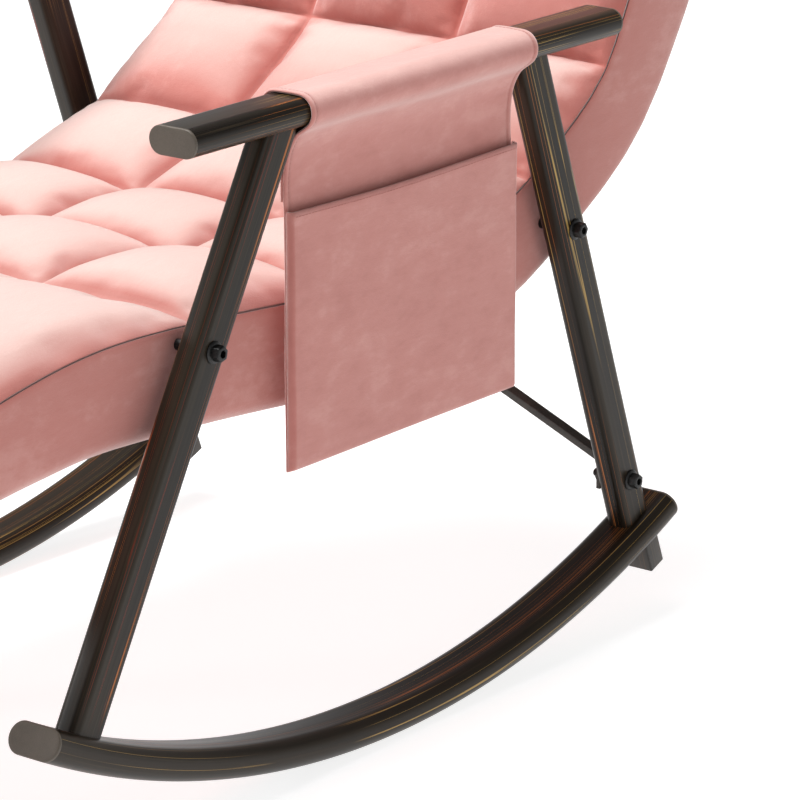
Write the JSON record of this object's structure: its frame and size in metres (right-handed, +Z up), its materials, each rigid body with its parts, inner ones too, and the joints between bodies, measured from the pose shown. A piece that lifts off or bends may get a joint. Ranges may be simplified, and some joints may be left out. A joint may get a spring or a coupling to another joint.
{
  "type": "rocking nursery chair",
  "caption": "Upholstered rocking nursery chair with flat oval tube side frames on curved rockers, a one-piece tufted seat and back cushion and a side pocket over one armrest.",
  "frame": {"origin": "floor level under the middle of the chair's overall box", "axes": "+Z up, the sitter faces -Y, +X is the side with the pocket"},
  "size_m": [0.6344, 1.2406, 0.9111],
  "materials": {
    "frame_finish": "satin",
    "end_cap": "satin",
    "stop_block": "satin",
    "black_hardware": "satin",
    "stay_finish": "satin",
    "inner_steel": "matte",
    "velvet": "matte",
    "pocket_velvet": "matte",
    "support_cloth": "matte"
  },
  "bodies": {
    "root": {"armrest_front_cap_left": "end_cap", "armrest_front_cap_right": "end_cap", "armrest_left": "frame_finish", "armrest_rear_cap_left": "end_cap", "armrest_rear_cap_right": "end_cap", "armrest_right": "frame_finish", "diagonal_stay_left": "stay_finish", "diagonal_stay_right": "stay_finish", "front_cross_bar": "inner_steel", "front_leg_left": "frame_finish", "front_leg_right": "frame_finish", "hanger_plate_left": "inner_steel", "hanger_plate_right": "inner_steel", "lower_back_cross_bar": "inner_steel", "pocket_drape": "pocket_velvet", "pocket_pouch": "pocket_velvet", "rear_leg_left": "frame_finish", "rear_leg_right": "frame_finish", "rear_seat_cross_bar": "inner_steel", "rocker_front_cap_left": "end_cap", "rocker_front_cap_right": "end_cap", "rocker_left": "frame_finish", "rocker_rear_cap_left": "end_cap", "rocker_rear_cap_right": "end_cap", "rocker_right": "frame_finish", "seat_and_back_cushion": "velvet", "seat_bolt_front_left": "black_hardware", "seat_bolt_front_right": "black_hardware", "seat_bolt_rear_left": "black_hardware", "seat_bolt_rear_right": "black_hardware", "seat_cross_bar": "inner_steel", "seat_nut_front_left": "black_hardware", "seat_nut_front_right": "black_hardware", "seat_nut_rear_left": "black_hardware", "seat_nut_rear_right": "black_hardware", "seat_rail_left": "inner_steel", "seat_rail_right": "inner_steel", "seat_spacer_front_left": "inner_steel", "seat_spacer_front_right": "inner_steel", "seat_spacer_rear_left": "inner_steel", "seat_spacer_rear_right": "inner_steel", "stay_anchor_left": "inner_steel", "stay_anchor_right": "inner_steel", "stay_bolt_left": "black_hardware", "stay_bolt_right": "black_hardware", "stay_nut_left": "black_hardware", "stay_nut_right": "black_hardware", "stay_plate_left": "stay_finish", "stay_plate_right": "stay_finish", "stop_block_left": "stop_block", "stop_block_right": "stop_block", "support_cloth_panel": "support_cloth", "top_cross_bar": "inner_steel", "under_cover": "velvet"}
  },
  "joints": []
}
